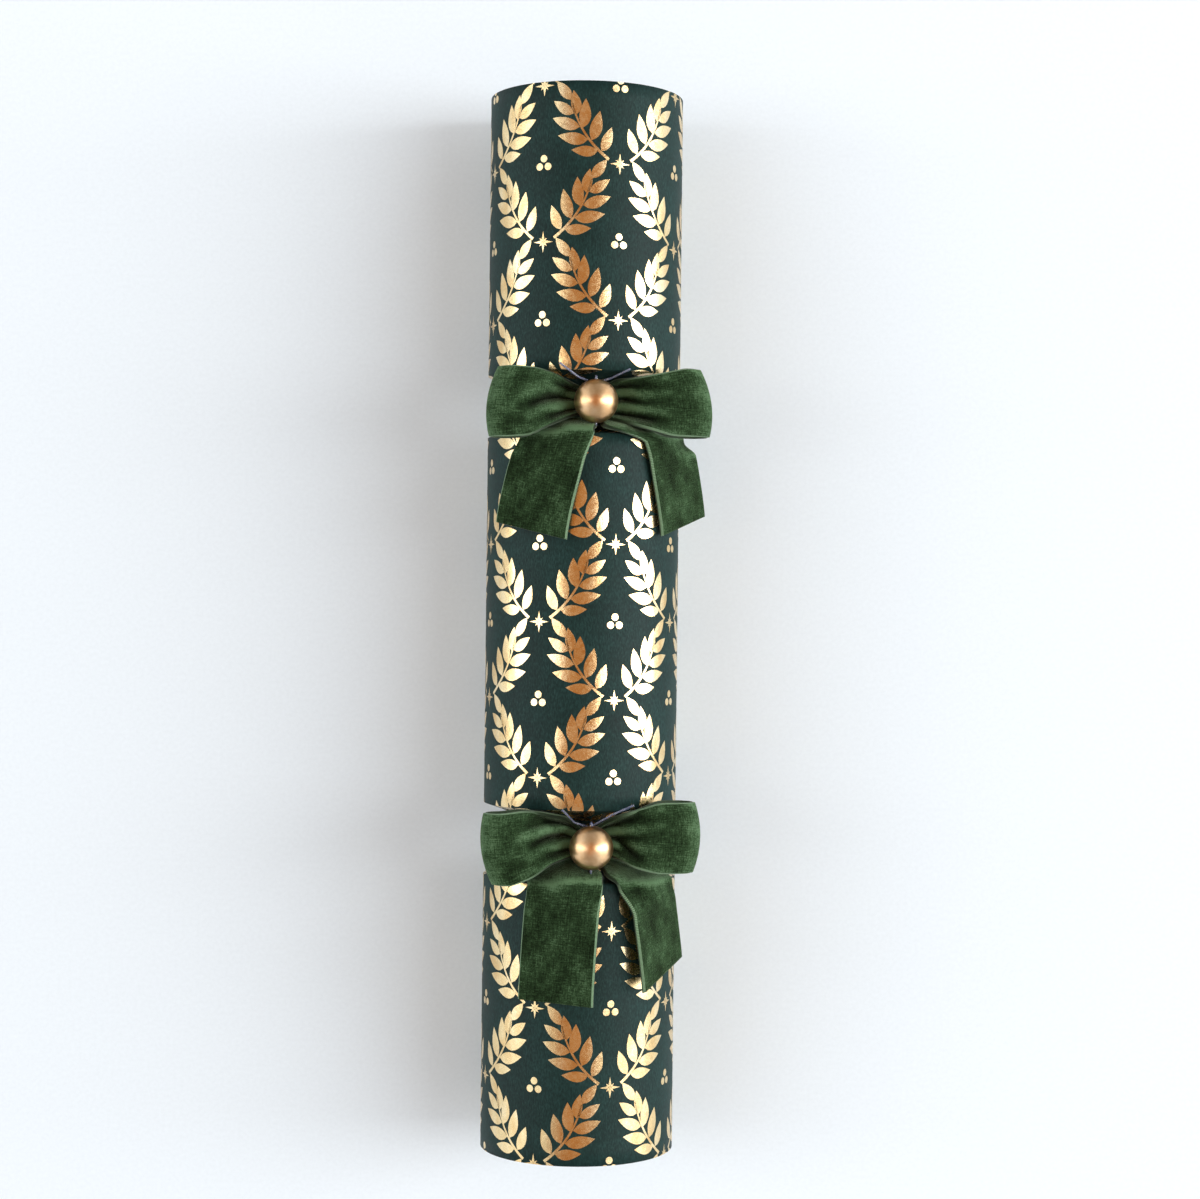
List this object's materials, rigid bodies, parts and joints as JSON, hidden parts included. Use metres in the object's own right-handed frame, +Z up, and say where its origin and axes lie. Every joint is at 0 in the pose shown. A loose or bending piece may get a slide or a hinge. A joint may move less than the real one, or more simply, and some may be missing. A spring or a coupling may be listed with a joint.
{
  "type": "christmas cracker",
  "caption": "Foil-printed paper cracker with open end barrels, pleated chokes, a snap inside and a velvet bow with a metallic bead on each choke; the ends pull off along its length.",
  "frame": {"origin": "on the surface that the cracker lies on, straight below its axis, half way along its length", "axes": "+Y along the cracker's axis towards the barrel above the upper bow, +Z up through the bows' side, +X to the right seen from above with +Y away"},
  "size_m": [0.0646, 0.305, 0.0628],
  "materials": {
    "printed_wrap": "printed matt card with gold foil motifs",
    "liner_board": "uncoated grey board",
    "snap_card": "plain thin card",
    "snap_paper": "plain wrapped paper",
    "gold_cord": "gold metallic cord",
    "velvet": "green velvet ribbon with a short pile",
    "bead_metallic": "copper-gold metallic lacquer, satin",
    "clear_thread": "clear nylon",
    "whistle_brass": "polished brass",
    "tissue": "red tissue paper",
    "joke_paper": "plain white paper"
  },
  "bodies": {
    "centre": {"centre_wrap": "printed_wrap", "centre_liner": "liner_board", "snap_sleeve": "snap_paper", "upper_tie": "gold_cord", "lower_tie": "gold_cord", "upper_bow_loops": "velvet", "upper_bow_tails": "velvet", "lower_bow_loops": "velvet", "lower_bow_tails": "velvet", "upper_bead": "bead_metallic", "lower_bead": "bead_metallic", "upper_thread": "clear_thread", "lower_thread": "clear_thread", "gift_whistle": "whistle_brass", "paper_hat": "tissue", "joke_slip": "joke_paper"},
    "top_end": {"top_end_wrap": "printed_wrap", "top_end_liner": "liner_board", "snap_strip_top": "snap_card"},
    "bottom_end": {"bottom_end_wrap": "printed_wrap", "bottom_end_liner": "liner_board", "snap_strip_bottom": "snap_card"}
  },
  "joints": [
    {"name": "top_end_pull", "type": "slide", "parent": "centre", "child": "top_end", "axis": [0, 1, 0], "range_m": [0, 0.07]},
    {"name": "bottom_end_pull", "type": "slide", "parent": "centre", "child": "bottom_end", "axis": [0, -1, 0], "range_m": [0, 0.07]}
  ]
}
